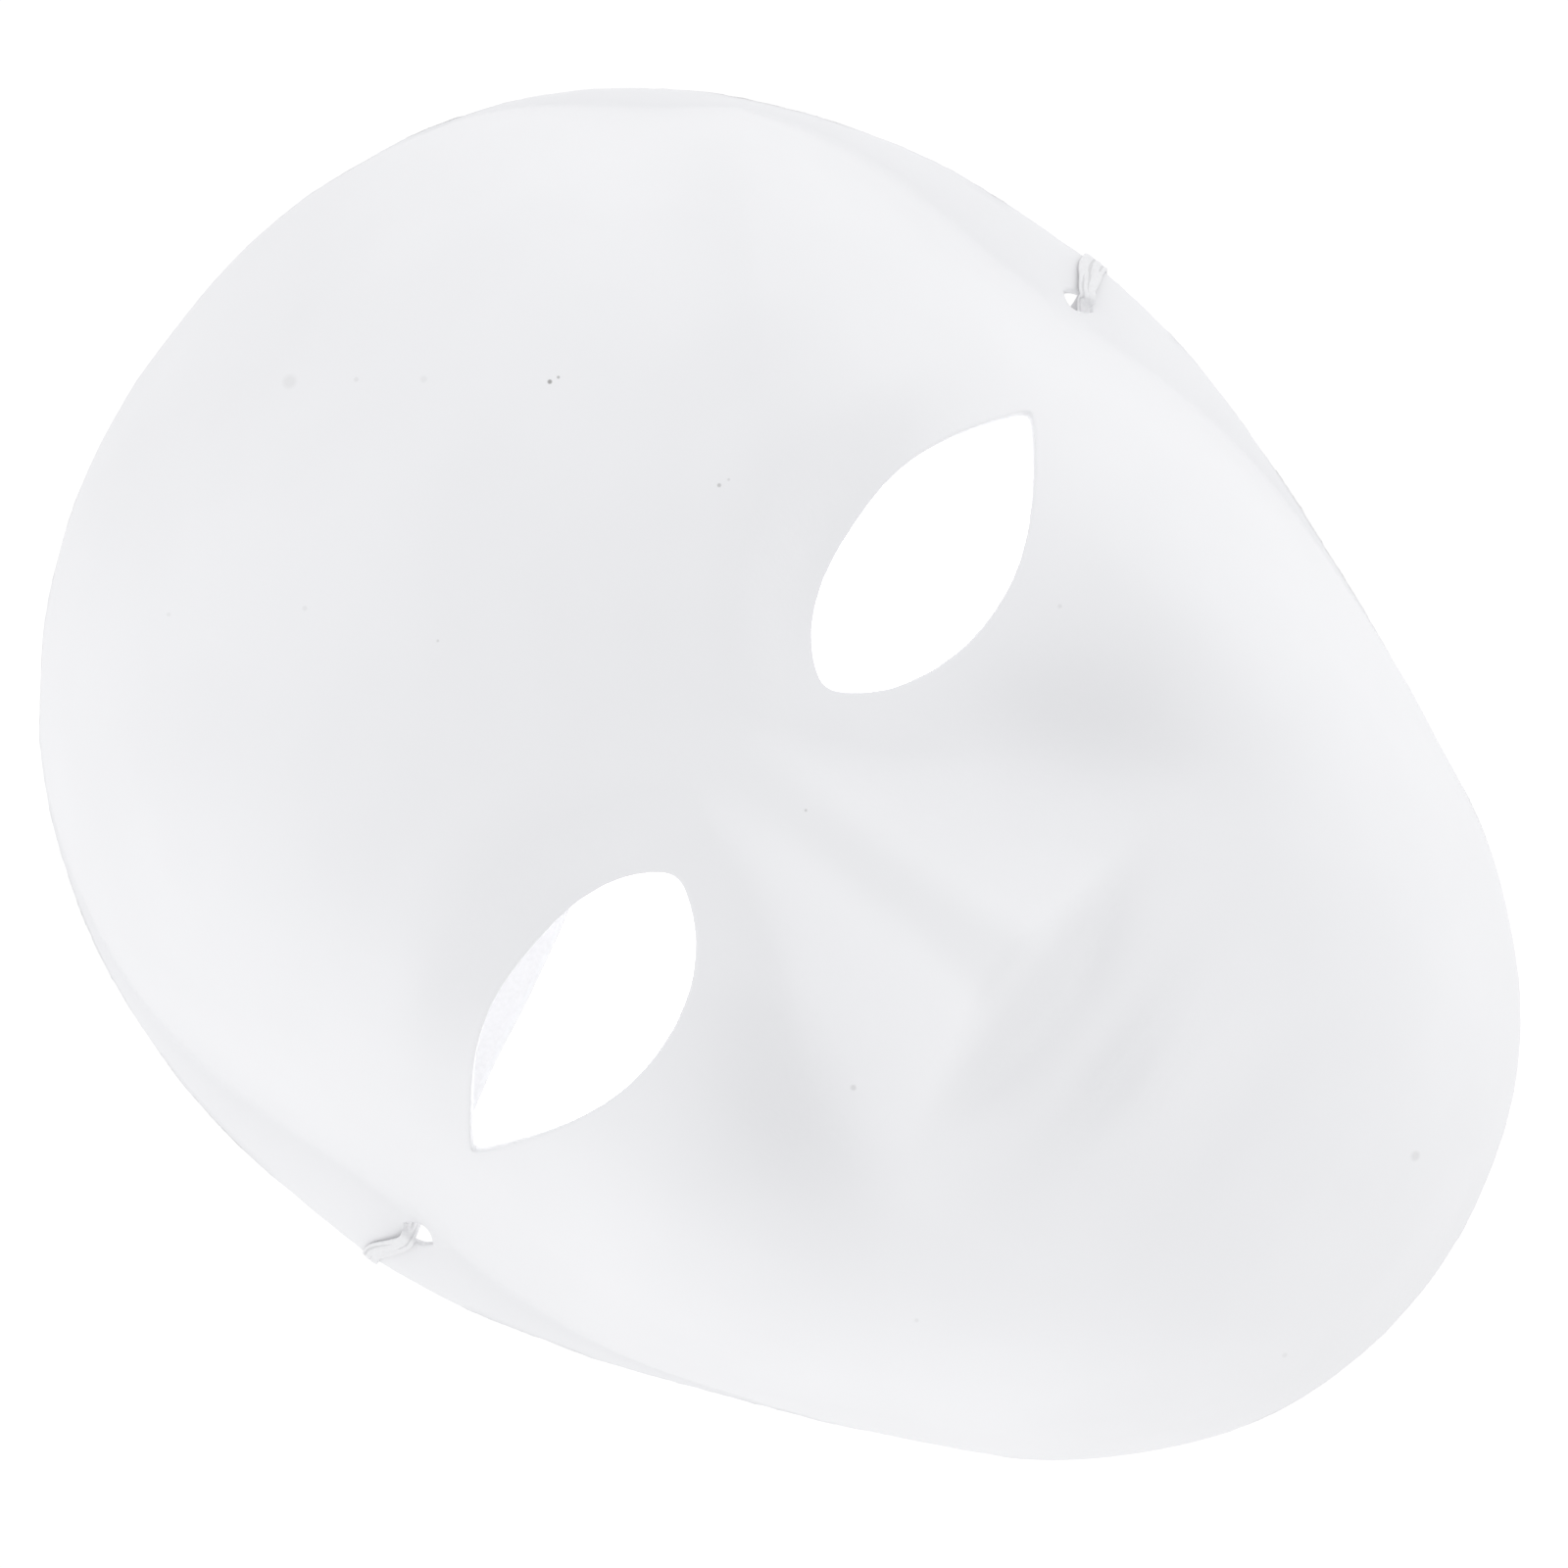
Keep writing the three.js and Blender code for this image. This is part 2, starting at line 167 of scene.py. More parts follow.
def features(x, y):
    side = np.abs(x)
    brow_line = BROW_Y - BROW_FALL * ((side - BROW_PEAK_X) / BROW_HALF_X) ** 2
    over_eye = bell((side - SOCKET_X) / SOCKET_SPREAD)
    socket = ramp(brow_line + 1, brow_line - 11, y) * ramp(-50, -10, y) * over_eye
    brow = bell((y - brow_line - 3) / 7) * over_eye
    below = HOLLOW_Y - y  # the hollow narrows downwards and leans outwards
    across = (side - HOLLOW_X - 0.3 * below) / (HOLLOW_HALF_X - 0.25 * below)
    cheek_hollow = bell(across) * bell((below - 1) / HOLLOW_HALF_Y)
    height = BROW_HEIGHT * brow - SOCKET_DEPTH * socket - HOLLOW_DEPTH * cheek_hollow
    for middle, level, half_x, half_y, rise in MOUNDS:
        height = height + rise * bell(np.hypot((x - middle) / half_x, (y - level) / half_y))
    return height


def nose_height(x, y):
    """A ridge that falls away to a flank on each side, and to an underside below the tip."""
    half = 3.5 + 6 * ramp(10, 34, y) + bell((y - NOSE_TIP_Y) / 8)
    side = soft_max(np.abs(x - NOSE_AXIS_X) - half, 0, 3)
    ridge = (NOSE_ROOT_Z + NOSE_RISE * np.maximum(0, NOSE_ROOT_Y - y)
             - 0.9 * soft_max(y - 32, 0, 14))
    flank = ridge - (1.15 - 0.2 * ramp(-5, -36, y)) * side
    under = NOSE_UNDER_Z + 1.5 * (y - NOSE_TIP_Y) - 0.5 * side
    return -soft_max(-flank, -under, 5)


def rim_lift(x, y, q):
    edge_y = np.where(x < 0, SIDES[-1]["edge_y"], SIDES[1]["edge_y"])
    lift = RIM_LIFT * ramp(RIM_LIFT_HALF, 0, np.abs(y - edge_y))
    return lift * q**10 * (np.abs(x) > 60)


def face_height(x, y):
    angle = np.degrees(np.arctan2(np.abs(x), y))
    q = np.minimum(1, np.hypot(x, y) / rim_radius(angle))
    face = dome_height(q, angle, x > 0) + features(x, y) * (1 - q**10)
    nosed = np.where(q < 0.8, soft_max(face, nose_height(x, y), 5), face)
    return nosed + rim_lift(x, y, q)


# ---- outlines in plan ------------------------------------------------------------------

def bezier(a, b, c, d, count):
    t = np.linspace(0, 1, count, endpoint=False)[:, None]
    a, b, c, d = (np.array(p, float) for p in (a, b, c, d))
    return a * (1 - t)**3 + 3 * b * t * (1 - t)**2 + 3 * c * t**2 * (1 - t) + d * t**3


def eye_outline(sign):
    corner, top, bottom = EYE_CORNER_Y, EYE_TOP, EYE_BOTTOM
    inner, outer = (EYE_INNER, corner), (EYE_OUTER, corner)
    parts = [
        bezier(outer, (56, corner + 7), (50, top), (40.5, top), 40),
        bezier((40.5, top), (29, top), (20, corner + 8), inner, 40),
        bezier(inner, (19.5, corner - 8), (28, bottom), (37.5, bottom), 40),
        bezier((37.5, bottom), (48, bottom), (57, corner - 7), outer, 40),
    ]
    loop = np.concatenate(parts)
    run = np.cumsum(np.linalg.norm(np.roll(loop, -1, 0) - loop, axis=1))
    wanted = np.linspace(0, run[-1], EYE_POINTS, endpoint=False)
    ring = np.concatenate([loop, loop[:1]])
    loop = np.stack([np.interp(wanted, np.r_[0, run], ring[:, k]) for k in (0, 1)], 1)
    for _ in range(EYE_BLUNTING):
        loop = loop / 2 + (np.roll(loop, 1, 0) + np.roll(loop, -1, 0)) / 4
    if sign < 0:
        loop = loop[::-1] * (-1, 1)
    return loop + (EYE_DRIFT, -sign * EYE_LEVEL_STEP)


def slot_outline(sign):
    half, bulge = SLOT_LENGTH / 2, SLOT_WIDTH / 1.5
    right = bezier((0, -half), (bulge, -half / 2), (bulge, half / 2), (0, half), 16)
    loop = np.concatenate([right, -right])
    x, y = SIDES[sign]["slot"]
    return loop + (sign * x, y)


def rim_point(turn, q):
    angle = np.degrees(np.minimum(turn, 2 * math.pi - turn))
    r = rim_radius(angle) * q
    return np.stack([r * np.sin(turn), r * np.cos(turn)], -1)


def inside_loop(points, loop):
    """Which points lie inside a closed outline."""
    x, y = points[:, 0], points[:, 1]
    inside = np.zeros(len(points), bool)
    for (x1, y1), (x2, y2) in zip(loop, np.roll(loop, -1, 0)):
        if y1 != y2:
            across = (y1 > y) != (y2 > y)
            inside ^= across & (x < (x2 - x1) * (y - y1) / (y2 - y1) + x1)
    return inside


def grown(loop, by):
    """An anticlockwise outline moved outwards."""
    along = np.roll(loop, -1, 0) - np.roll(loop, 1, 0)
    along /= np.linalg.norm(along, axis=1)[:, None]
    return loop + by * np.stack([along[:, 1], -along[:, 0]], 1)


# ---- mesh helpers ----------------------------------------------------------------------

def new_piece(name, verts_mm, faces, materials, face_material=None):
    mesh = bpy.data.meshes.new(name)
    mesh.from_pydata((np.asarray(verts_mm) * MM).tolist(), [], faces)
    for material in materials:
        mesh.materials.append(material)
    mesh.polygons.foreach_set("use_smooth", [True] * len(mesh.polygons))
    if face_material is not None:
        mesh.polygons.foreach_set("material_index", face_material)
    mesh.update()
    piece = bpy.data.objects.new(name, mesh)
    bpy.context.scene.collection.objects.link(piece)
    return piece


def surface_normals(verts, tris):
    a, b, c = (verts[tris[:, k]] for k in range(3))
    facing = np.cross(b - a, c - a)
    normals = np.zeros_like(verts)
    for k in range(3):
        np.add.at(normals, tris[:, k], facing)
    return normals / np.linalg.norm(normals, axis=1)[:, None]


def boundary_loops(tris):
    """The open edges of a skin, as loops of vertices that keep the skin on their left."""
    edges = np.concatenate([tris[:, [0, 1]], tris[:, [1, 2]], tris[:, [2, 0]]])
    present = set(map(tuple, edges.tolist()))
    following = {a: b for a, b in present if (b, a) not in present}
    loops = []
    while following:
        first, nxt = next(iter(following.items()))
        loop = [first]
        while nxt != first:
            loop.append(nxt)
            nxt = following.pop(nxt)
        following.pop(first)
        loops.append(loop)
    return loops


# ---- the shell -------------------------------------------------------------------------

SPACING = 1.15  # between the points of the skin
RIM_SECTORS = 480
ROWS_FROM = 0.86  # share of the radius where the rings along the rim begin
DOME_ROWS, FLANGE_ROWS = 15, 8
EYE_LOOPS, SLOT_LOOPS = (0.45, 1.0, 1.7), (0.45,)  # how far outside each hole its loops lie
CLEARING = 2.3  # no other points this near to a hole
RIM_UNEVENNESS, EYE_UNEVENNESS = 0.22, 0.12


def hand_cut(loop, amount):
    """An outline with the small unevenness of a trimmed edge."""
    out = grown(loop, 1) - loop
    wobble = [noise.noise(Vector((x * 0.09, y * 0.09, 5.3))) + 0.5 * noise.noise(
        Vector((x * 0.6, y * 0.6, 8.1))) for x, y in loop]
    return loop + out * (np.array(wobble) * amount)[:, None]


def plan_points(eyes, slots):
    """Where the skin's points lie in plan: staggered rows and rings along the rim, then loops
    round the holes. The rim itself comes apart from them."""
    turns = np.arange(RIM_SECTORS) / RIM_SECTORS * 2 * math.pi
    angle = np.degrees(np.minimum(turns, 2 * math.pi - turns))
    share = flange_share(angle, turns < math.pi)
    width = np.maximum(LIP_WIDTH, FLANGE_WIDTH * share)
    even = np.linspace(ROWS_FROM, 1, DOME_ROWS)
    drawn_together = np.sin(np.linspace(math.asin(ROWS_FROM), math.pi / 2, DOME_ROWS))
    rings = [(1 - width) * share for share in (even + drawn_together) / 2]
    rings += [1 - width * (1 - share) for share in np.linspace(0, 1, FLANGE_ROWS)[1:]]
    rows = [rim_point(turns, q) for q in rings]
    around = np.concatenate(rows[:-1])
    limit = rows[0][::-1]
    xs = np.arange(-95, 95, SPACING)
    ys = np.arange(-118, 118, SPACING * 0.866)
    gx, gy = np.meshgrid(xs, ys)
    gx = gx + (np.arange(len(ys)) % 2)[:, None] * SPACING / 2
    inner = np.stack([gx.ravel(), gy.ravel()], 1)
    inner = inner[inside_loop(inner, limit * 0.992)]
    loose = np.concatenate([inner, around])
    near = []
    for hole, distances in [(h, EYE_LOOPS) for h in eyes] + [(h, SLOT_LOOPS) for h in slots]:
        loose = loose[~inside_loop(loose, grown(hole, CLEARING))]
        near += [grown(hole, distance) for distance in distances]
    return np.concatenate([loose] + near), hand_cut(rows[-1][::-1], RIM_UNEVENNESS)


def plan_triangles(points, holes, rim):
    starts, edges = len(points), []
    fixed = [rim] + holes
    for loop in fixed:
        n = len(loop)
        edges += [(starts + k, starts + (k + 1) % n) for k in range(n)]
        starts += n
    every = np.concatenate([points] + fixed)
    verts, _, faces, *_ = delaunay_2d_cdt([Vector(p) for p in every], edges, [], 0, 1e-5)
    verts = np.array([tuple(v) for v in verts])
    tris = np.array([f for f in faces if len(f) == 3])
    middle = verts[tris].mean(1)
    keep = inside_loop(middle, rim)
    for hole in holes:
        keep &= ~inside_loop(middle, hole)
    return verts, tris[keep]


def unevenness(points):
    """The slight waviness of a skin that dried on its mould."""
    drift = Vector((3.1, 7.7, 1.9))
    return np.array([noise.noise(Vector(p) * 0.035 + drift) * 0.35
                     + noise.noise(Vector(p) * 0.13 + drift) * 0.06 for p in points])


# the softened cut edge, from the outside in: up and out, in half walls
EDGE_PROFILE = [(0.86, 0.26), (0.5, 0.38), (-0.5, 0.38), (-0.86, 0.26)]


def mask_shell(outside, inside):
    """The skin, the same skin moved inwards by the wall, and the cut edges between them."""
    eyes = [hand_cut(eye_outline(sign), EYE_UNEVENNESS) for sign in (-1, 1)]
    slots = [slot_outline(sign) for sign in (-1, 1)]
    points, rim = plan_points(eyes, slots)
    plan, tris = plan_triangles(points, eyes + slots, rim)
    used, tris = np.unique(tris, return_inverse=True)
    tris = tris.reshape(-1, 3)
    plan = plan[used]
    skin = np.column_stack([plan, face_height(plan[:, 0], plan[:, 1])])
    facing = surface_normals(skin, tris)
    if facing[:, 2].mean() < 0:
        tris = tris[:, ::-1]
        facing = -facing
    skin = skin + facing * unevenness(skin)[:, None]
    facing = surface_normals(skin, tris)
    n = len(skin)
    verts = [skin, skin - WALL * facing]
    faces = tris.tolist() + (tris[:, ::-1] + n).tolist()
    kinds = [0] * len(tris) + [1] * len(tris)
    total = 2 * n
    for loop in boundary_loops(tris):
        loop = np.array(loop)
        along = skin[np.roll(loop, -1)] - skin[np.roll(loop, 1)]
        away = np.cross(along, facing[loop])
        away /= np.linalg.norm(away, axis=1)[:, None]
        middle = skin[loop] - facing[loop] * WALL / 2
        rows = [loop]
        for up, out in EDGE_PROFILE:
            verts.append(middle + WALL / 2 * (up * facing[loop]) + WALL / 2 * out * away)
            rows.append(np.arange(total, total + len(loop)))
            total += len(loop)
        rows.append(loop + n)
        for top, low in zip(rows, rows[1:]):
            quads = np.stack([top, low, np.roll(low, -1), np.roll(top, -1)], 1)
            faces += quads.tolist()
            kinds += [0] * len(quads)
    verts = np.concatenate(verts)
    verts[:, 2] = np.maximum(verts[:, 2], 0)
    return new_piece("moulded_shell", verts, faces, [outside, inside], kinds)


# ---- bands and ropes -------------------------------------------------------------------

def swept(name, path, across_of, section_of, materials, closed=False):
    """A closed skin along a path. section_of(share) gives the outline there, across and up, and
    optionally in a third column which stretches take the second material, the darker tone that
    paints shade into the folds."""
    path = np.asarray(path, float)
    if closed:
        along = np.roll(path, -1, 0) - np.roll(path, 1, 0)
    else:
        along = np.gradient(path, axis=0)
    along /= np.linalg.norm(along, axis=1)[:, None]
    rows, shaded_folds = [], []
    for k, (point, t) in enumerate(zip(path, along)):
        across = across_of(t)
        across = across - t * across.dot(t)
        across /= np.linalg.norm(across)
        up = np.cross(t, across)
        outline = section_of(k / (len(path) - 1))
        # the marked stretches get the second material: painted shade in the folds
        shaded_folds.append(outline[:, 2] > 0.5 if outline.shape[1] > 2 else np.zeros(len(outline), bool))
        rows.append(point + outline[:, :1] * across + outline[:, 1:2] * up)
    sides = len(rows[0])
    verts = np.concatenate(rows)
    count = len(rows)
    faces, kinds = [], []
    for k in range(count if closed else count - 1):
        for s in range(sides):
            a, b = k * sides + s, k * sides + (s + 1) % sides
            c, d = ((k + 1) % count) * sides + (s + 1) % sides, ((k + 1) % count) * sides + s
            faces.append((a, b, c, d))
            kinds.append(int(shaded_folds[k][s] and shaded_folds[k][(s + 1) % sides]))
    if not closed:
        faces.append(tuple(range(sides))[::-1])
        faces.append(tuple((count - 1) * sides + s for s in range(sides)))
        kinds += [0, 0]
    return new_piece(name, verts, faces, materials, kinds)


def level_across(t):
    return np.array([-t[1], t[0], 0.0])


def strap_section(share):
    """A flat braid: rounded edges and a shallow rib for each of its strands."""
    half_w, half_t, strands = STRAP_WIDTH / 2, STRAP_THICKNESS / 2, 7
    a = np.linspace(0, 2 * math.pi, 56, endpoint=False)
    x = half_w * np.sign(np.cos(a)) * np.abs(np.cos(a)) ** 0.55
    y = half_t * np.sign(np.sin(a)) * np.abs(np.sin(a)) ** 0.45
    rib = np.abs(np.sin(x / half_w * math.pi * strands / 2))
    return np.stack([x, y * (0.78 + 0.1925 * rib)], 1)


def elastic_strap(material):
    route = [(-73.2, 12.4)] + STRAP_ROUTE + [(73.2, 12.4)]
    path = smooth_path([(x, y, STRAP_LEVEL) for x, y in route], 260)
    piece = swept("elastic_strap_braid", path, level_across, strap_section, [material])
    return piece, path


def gathered_section(width_of, thickness, phase):
    """The braid crushed together: a few deep folds that wander along it, the deepest marked for
    painted shade.
    """
    def section(share):
        half = width_of(share) / 2
        a = np.linspace(0, 2 * math.pi, 96, endpoint=False)
        x = half * np.cos(a)
        y = thickness / 2 * np.sign(np.sin(a)) * np.abs(np.sin(a)) ** 0.6
        deep = np.zeros_like(a)
        for k, at in enumerate((-0.5, 0.02, 0.5)):
            middle = half * (at + 0.14 * math.sin(8 * share + 2.1 * k + phase))
            depth = 0.5 * (0.55 + 0.45 * math.sin(11 * share + 1.7 * k + phase))
            deep = np.maximum(deep, depth * bell((x - middle) / (0.11 * half * 2)))
        # the third column marks the deepest folds, which get a darker tone as painted shade
        return np.stack([x, y * (1 - deep), deep > 0.3], 1)
    return section


def flange_height(x):
    return FLANGE_SLOPE * (EDGE_X - x) + RIM_LIFT


def loop_route(sign):
    """From the knot up through the slot, out over the flange, round its edge and back."""
    (slot_x, slot_y), edge_y = SIDES[sign]["slot"], SIDES[sign]["edge_y"]
    lean, under_y = SIDES[sign]["lean"], SIDES[sign]["under_y"]
    start = KNOT.x + KNOT_HALF.x - 1.0
    return [
        (start, KNOT.y - 0.8, 2.6),
        (slot_x - 1.2, slot_y + 2 * lean, 2.9),
        (slot_x + 0.75, slot_y + lean + 0.2, flange_height(slot_x) - 1.6),
        (slot_x + 1.15, slot_y + lean, flange_height(slot_x + 1.1) + 0.3),
        (slot_x + 2.1, slot_y + 0.4 + lean / 2, flange_height(slot_x + 2.1) + 0.63),
        (slot_x + 3.8, (slot_y + edge_y) / 2, flange_height(slot_x + 3.8) + 0.48),
        (EDGE_X - 0.9, edge_y, flange_height(EDGE_X - 0.9) + 0.4),
        (EDGE_X + 0.25, edge_y, 1.9),
        (EDGE_X - 0.2, edge_y, 0.8),
        (EDGE_X - 2, (edge_y + under_y) / 2, 0.6),
        (EDGE_X - 4.5, under_y, 0.6),
        (start + 2.5, under_y, 0.8),
        (start, KNOT.y + 0.4, 1.5),
    ]


def strap_loop(sign, materials):
    def width_of(share):
        return SLOT_GATHER + (SIDES[sign]["spread"] - SLOT_GATHER) * float(ramp(0.28, 0.5, share))

    def along_rim(_):
        return np.array([0.0, 1.0, 0.0])

    path = smooth_path([(sign * x, y, z) for x, y, z in loop_route(sign)], 170)
    section = gathered_section(width_of, LOOP_THICKNESS, 1.3 * sign)
    side = "left" if sign < 0 else "right"
    return swept(f"{side}_loop_braid", path, along_rim, section, materials)


def strap_knot(sign, materials):
    """An overhand knot pulled tight: a trefoil of the crushed braid."""
    t = np.linspace(0, 2 * math.pi, 180, endpoint=False)
    reach = np.array(KNOT_HALF) - KNOT_ROPE
    path = np.stack([
        (2 + np.cos(3 * t)) * np.cos(2 * t) / 3 * reach[0],
        (2 + np.cos(3 * t)) * np.sin(2 * t) / 3 * reach[1],
        np.sin(3 * t) * reach[2],
    ], 1) + (sign * KNOT.x, KNOT.y, KNOT.z)
    section = gathered_section(lambda share: 2 * KNOT_ROPE, 1.8 * KNOT_ROPE, 0.7 * sign)
    side = "left" if sign < 0 else "right"
    return swept(f"{side}_knot_braid", path, lambda d: np.array([0.0, 0.0, 1.0]), section,
                 materials, closed=True)


# ---- materials -------------------------------------------------------------------------

def node_material(name):
    material = bpy.data.materials.new(name)
    material.use_nodes = True
    nodes, links = material.node_tree.nodes, material.node_tree.links
    shader = next(n for n in nodes if n.type == "BSDF_PRINCIPLED")
    place = nodes.new("ShaderNodeTexCoord")
    return material, nodes, links, shader, place.outputs["Object"]


def noise_node(nodes, links, place, scale, detail, rough=0.5, stretch=None):
    if stretch:
        mapping = nodes.new("ShaderNodeMapping")
        mapping.inputs["Scale"].default_value = stretch
        links.new(place, mapping.inputs["Vector"])
        place = mapping.outputs["Vector"]
    texture = nodes.new("ShaderNodeTexNoise")
    texture.inputs["Scale"].default_value = scale
    texture.inputs["Detail"].default_value = detail
    texture.inputs["Roughness"].default_value = rough
    links.new(place, texture.inputs["Vector"])
    return texture.outputs["Fac"]


def colour_ramp(nodes, links, value, stops):
    node = nodes.new("ShaderNodeValToRGB")
    elements = node.color_ramp.elements
    while len(elements) < len(stops):
        elements.new(0.5)
    for element, (at, colour) in zip(elements, stops):
        element.position = at
        element.color = (*colour, 1)
    links.new(value, node.inputs["Fac"])
    return node.outputs["Color"]


def bump_chain(nodes, links, shader, layers):
    """layers: (height, distance in metres, strength)"""
    normal = None
    for height, distance, strength in layers:
        bump = nodes.new("ShaderNodeBump")
        bump.inputs["Distance"].default_value = distance
        bump.inputs["Strength"].default_value = strength
        links.new(height, bump.inputs["Height"])
        if normal is not None:
            links.new(normal, bump.inputs["Normal"])
        normal = bump.outputs["Normal"]
    links.new(normal, shader.inputs["Normal"])


PULP = (0.80, 0.80, 0.812)
FLECK_COLOUR = (0.16, 0.15, 0.14, 1)
# flecks in the pulp, as seen from the front: x, y, radius in millimetres and darkness
FLECKS = [
    (5.6, 94, 1.0, 0.10), (11.4, 86, 0.35, 0.12), (27.0, 63.2, 0.32, 0.7), (28.2, 62.6, 0.22, 0.5),
    (29.2, 35.5, 0.28, 0.4), (30.6, 34.9, 0.2, 0.2), (-26.3, -28.7, 0.4, 0.2),
    (12.5, -98, 0.7, 0.14), (0.5, -0.6, 0.2, 0.3), (-11, 54, 0.2, 0.2), (-18.5, 72, 0.35, 0.1),
    (17, 78, 0.5, 0.08),
    (44, -12, 0.3, 0.12), (-47, -55, 0.3, 0.1), (-31, 88, 0.3, 0.1), (-21, -101, 0.4, 0.1),
]


def flecks(nodes, links, place):
    """How dark the flecks make each point, 0 for clean pulp."""
    flat = nodes.new("ShaderNodeMapping")
    flat.inputs["Scale"].default_value = (1, 1, 0)
    links.new(place, flat.inputs["Vector"])
    total = None
    for x, y, radius, darkness in FLECKS:
        away = nodes.new("ShaderNodeVectorMath")
        away.operation = "DISTANCE"
        away.inputs[1].default_value = (x * MM, y * MM, 0)
        links.new(flat.outputs["Vector"], away.inputs[0])
        spot = nodes.new("ShaderNodeMapRange")
        spot.inputs["From Min"].default_value = radius * 0.6 * MM
        spot.inputs["From Max"].default_value = radius * 1.3 * MM
        spot.inputs["To Min"].default_value = darkness
        spot.inputs["To Max"].default_value = 0
        links.new(away.outputs["Value"], spot.inputs["Value"])
        found = spot.outputs["Result"]
        if total is not None:
            most = nodes.new("ShaderNodeMath")
            most.operation = "MAXIMUM"
            links.new(total, most.inputs[0])
            links.new(found, most.inputs[1])
            found = most.outputs["Value"]
        total = found
    return total


def pulp_outside():
    material, nodes, links, shader, place = node_material("moulded_pulp_outside")
    cloud = noise_node(nodes, links, place, 22, 3)
    light = [c * 1.012 for c in PULP]
    dark = [c * 0.985 for c in PULP]
    base = colour_ramp(nodes, links, cloud, [(0.35, dark), (0.65, light)])
    mix = nodes.new("ShaderNodeMix")
    mix.data_type = "RGBA"
    links.new(flecks(nodes, links, place), mix.inputs["Factor"])
    links.new(base, mix.inputs["A"])
    mix.inputs["B"].default_value = FLECK_COLOUR
    links.new(mix.outputs["Result"], shader.inputs["Base Color"])
    shader.inputs["Roughness"].default_value = 0.62
    grain = noise_node(nodes, links, place, 900, 4, 0.6)
    fibre = noise_node(nodes, links, place, 260, 5, 0.65, (1, 0.35, 1))
    bump_chain(nodes, links, shader, [(fibre, 0.00012, 0.25), (grain, 0.00005, 0.2)])
    return material


def pulp_inside():
    material, nodes, links, shader, place = node_material("moulded_pulp_inside")
    cloud = noise_node(nodes, links, place, 60, 5, 0.6)
    base = colour_ramp(nodes, links, cloud, [(0.3, [c * 0.95 for c in PULP]), (0.7, PULP)])
    links.new(base, shader.inputs["Base Color"])
    shader.inputs["Roughness"].default_value = 0.85
    felt = noise_node(nodes, links, place, 420, 7, 0.7)
    fibre = noise_node(nodes, links, place, 180, 6, 0.7, (1, 0.3, 0.6))
    bump_chain(nodes, links, shader, [(felt, 0.0004, 0.6), (fibre, 0.0004, 0.4)])
    return material


def braided_elastic(name, tone):
    material, nodes, links, shader, place = node_material(name)
    weave = noise_node(nodes, links, place, 1400, 3, 0.6)
    stops = [(0.3, [c * 0.95 for c in tone]), (0.7, tone)]
    links.new(colour_ramp(nodes, links, weave, stops), shader.inputs["Base Color"])
    shader.inputs["Roughness"].default_value = 0.8
    bump_chain(nodes, links, shader, [(weave, 0.00005, 0.3)])
    return material


# the second tone is painted shade: the same elastic, darker, laid in the deep folds of the crushed
# braid
ELASTIC, ELASTIC_CREASE_SHADE = (0.80, 0.80, 0.81), (0.68, 0.68, 0.69)
GLOW_REACH = 0.05, 0.065  # metres from the middle: the floor shines brighter under the mask
GLOW_STRENGTH = 2.95, 0.93


def white_floor():
    material, nodes, links, shader, place = node_material("white_sweep")
    shader.inputs["Base Color"].default_value = (0.1, 0.1, 0.1, 1)
    shader.inputs["Roughness"].default_value = 0.9
    shader.inputs["Emission Color"].default_value = (1, 1, 1, 1)
    reach = nodes.new("ShaderNodeVectorMath")
    reach.operation = "LENGTH"
    links.new(place, reach.inputs[0])
    glow = nodes.new("ShaderNodeMapRange")
    glow.inputs["From Min"].default_value, glow.inputs["From Max"].default_value = GLOW_REACH
    glow.inputs["To Min"].default_value, glow.inputs["To Max"].default_value = GLOW_STRENGTH
    links.new(reach.outputs["Value"], glow.inputs["Value"])
    links.new(glow.outputs["Result"], shader.inputs["Emission Strength"])
    return material


# ---- camera, floor and light -----------------------------------------------------------

PICTURE_RIGHT = Vector((math.cos(VIEW_TURN), -math.sin(VIEW_TURN), 0))
PICTURE_UP = Vector((math.sin(VIEW_TURN), math.cos(VIEW_TURN), 0))
CAMERA_DISTANCE = 1.0
SEEN_WIDTH = 0.2286
SENSOR_WIDTH = 36
FLOOR_HALF = 6.0
MASK_RIGHT, MASK_DOWN = 0.0022, 0.00364  # how far the mask lies from the picture's middle


def camera():
    data = bpy.data.cameras.new("camera")
    data.sensor_width = SENSOR_WIDTH
    data.lens = SENSOR_WIDTH * CAMERA_DISTANCE / SEEN_WIDTH
    data.clip_start = 0.01
    data.clip_end = 20
    obj = bpy.data.objects.new("camera", data)
    bpy.context.scene.collection.objects.link(obj)
    spot = PICTURE_UP * MASK_DOWN - PICTURE_RIGHT * MASK_RIGHT
    obj.location = spot + Vector((0, 0, CAMERA_DISTANCE))
    obj.rotation_euler = (0, 0, -VIEW_TURN)
    bpy.context.scene.camera = obj


def floor():
    half = FLOOR_HALF
    verts = [(-half, -half, 0), (half, -half, 0), (half, half, 0), (-half, half, 0)]
    mesh = bpy.data.meshes.new("floor")
    mesh.from_pydata(verts, [], [(0, 1, 2, 3)])
    mesh.materials.append(white_floor())
    obj = bpy.data.objects.new("floor", mesh)
    bpy.context.scene.collection.objects.link(obj)


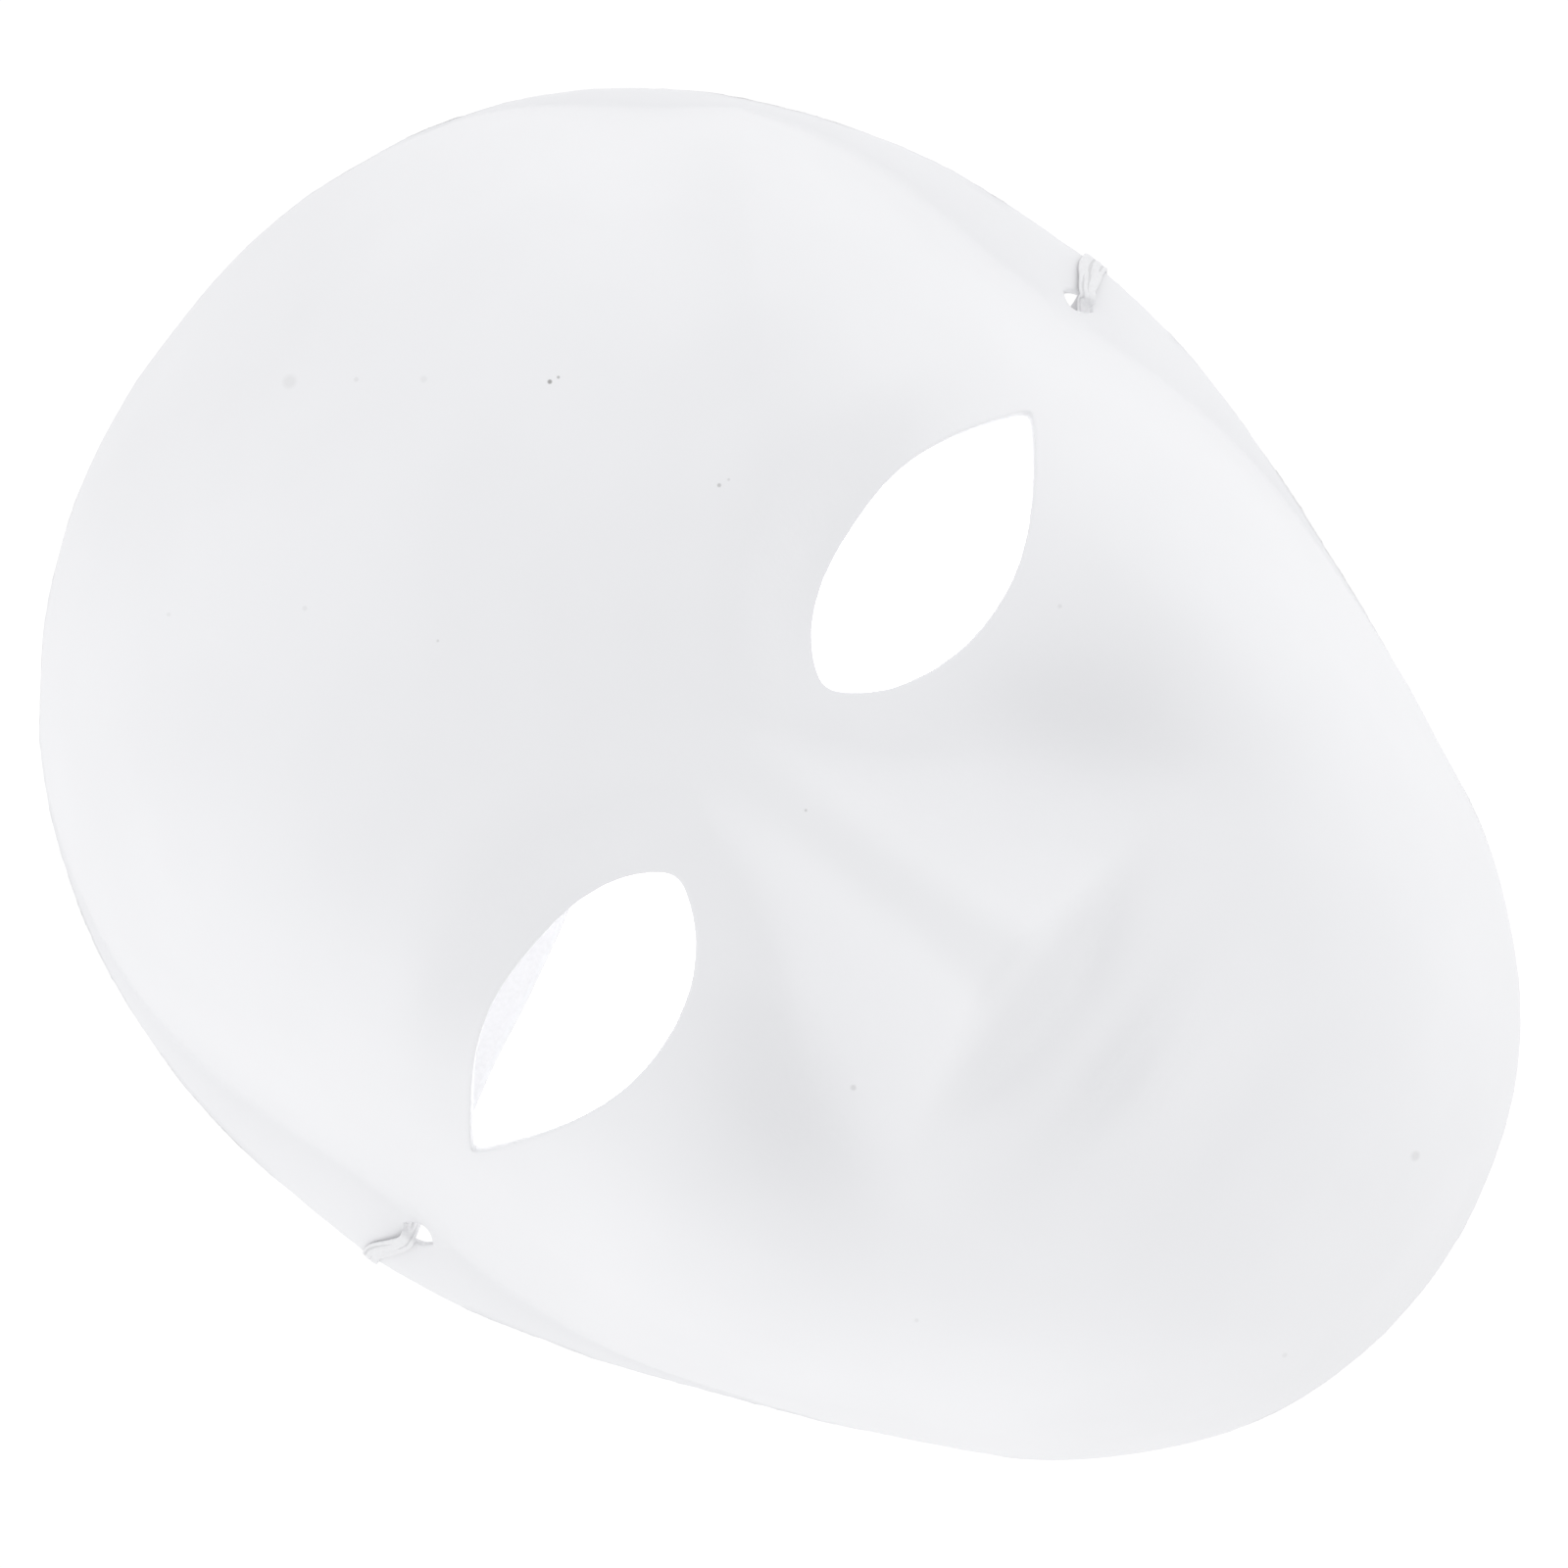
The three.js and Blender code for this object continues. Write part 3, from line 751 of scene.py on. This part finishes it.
LAMPS = [
    ("left_lamp", (-1, 0.15, 0), 4.6),
    ("right_lamp", (1, -0.05, 0), 4.1),
    ("forehead_lamp", (0.2, 1, 0), 2.1),
    ("chin_lamp", (0.1, -1, 0), 1.7),
]
LAMP_ELEVATION, LAMP_DISTANCE, LAMP_SIZE = math.radians(12), 1.6, 1.0


def area_light(name, towards, power):
    """A large soft light standing low over the table, in the direction given on it."""
    data = bpy.data.lights.new(name, "AREA")
    data.size = LAMP_SIZE
    data.energy = power
    obj = bpy.data.objects.new(name, data)
    bpy.context.scene.collection.objects.link(obj)
    level = Vector(towards).normalized() * math.cos(LAMP_ELEVATION)
    spot = (level + Vector((0, 0, math.sin(LAMP_ELEVATION)))) * LAMP_DISTANCE
    obj.location = spot
    obj.rotation_euler = (-spot).to_track_quat("-Z", "Y").to_euler()


SKY_ZENITH, SKY_HORIZON = 0.975, 0.87


def studio():
    """A white tent round the table, a little brighter overhead than low down, and the lamps."""
    world = bpy.data.worlds.new("studio")
    bpy.context.scene.world = world
    world.use_nodes = True
    nodes, links = world.node_tree.nodes, world.node_tree.links
    background = nodes["Background"]
    place = nodes.new("ShaderNodeTexCoord").outputs["Generated"]
    split = nodes.new("ShaderNodeSeparateXYZ")
    links.new(place, split.inputs["Vector"])
    height = nodes.new("ShaderNodeMapRange")
    height.inputs["To Min"].default_value = SKY_HORIZON
    height.inputs["To Max"].default_value = SKY_ZENITH
    links.new(split.outputs["Z"], height.inputs["Value"])
    links.new(height.outputs["Result"], background.inputs["Strength"])
    background.inputs["Color"].default_value = (0.985, 0.99, 1, 1)
    for name, towards, power in LAMPS:
        area_light(name, towards, power)
    bpy.context.scene.view_settings.view_transform = "Standard"


# ---- the scene -------------------------------------------------------------------------

camera()
elastic = braided_elastic("braided_elastic", ELASTIC)
# a darker copy of the elastic, painted shade for the deep folds of the loops and knots
crease_shaded_elastic = braided_elastic("braided_elastic_painted_crease_shade", ELASTIC_CREASE_SHADE)
strap, strap_path = elastic_strap(elastic)
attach(strap, "strap")
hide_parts("elastic_strap")

shell = mask_shell(pulp_outside(), pulp_inside())
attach(shell, "shell")
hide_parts("mask_shell")

for sign, side in ((-1, "left"), (1, "right")):
    for make, node in ((strap_loop, "loop"), (strap_knot, "knot")):
        piece = make(sign, [elastic, crease_shaded_elastic])
        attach(piece, "shell")
        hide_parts(f"{side}_strap_{node}")

floor()
studio()
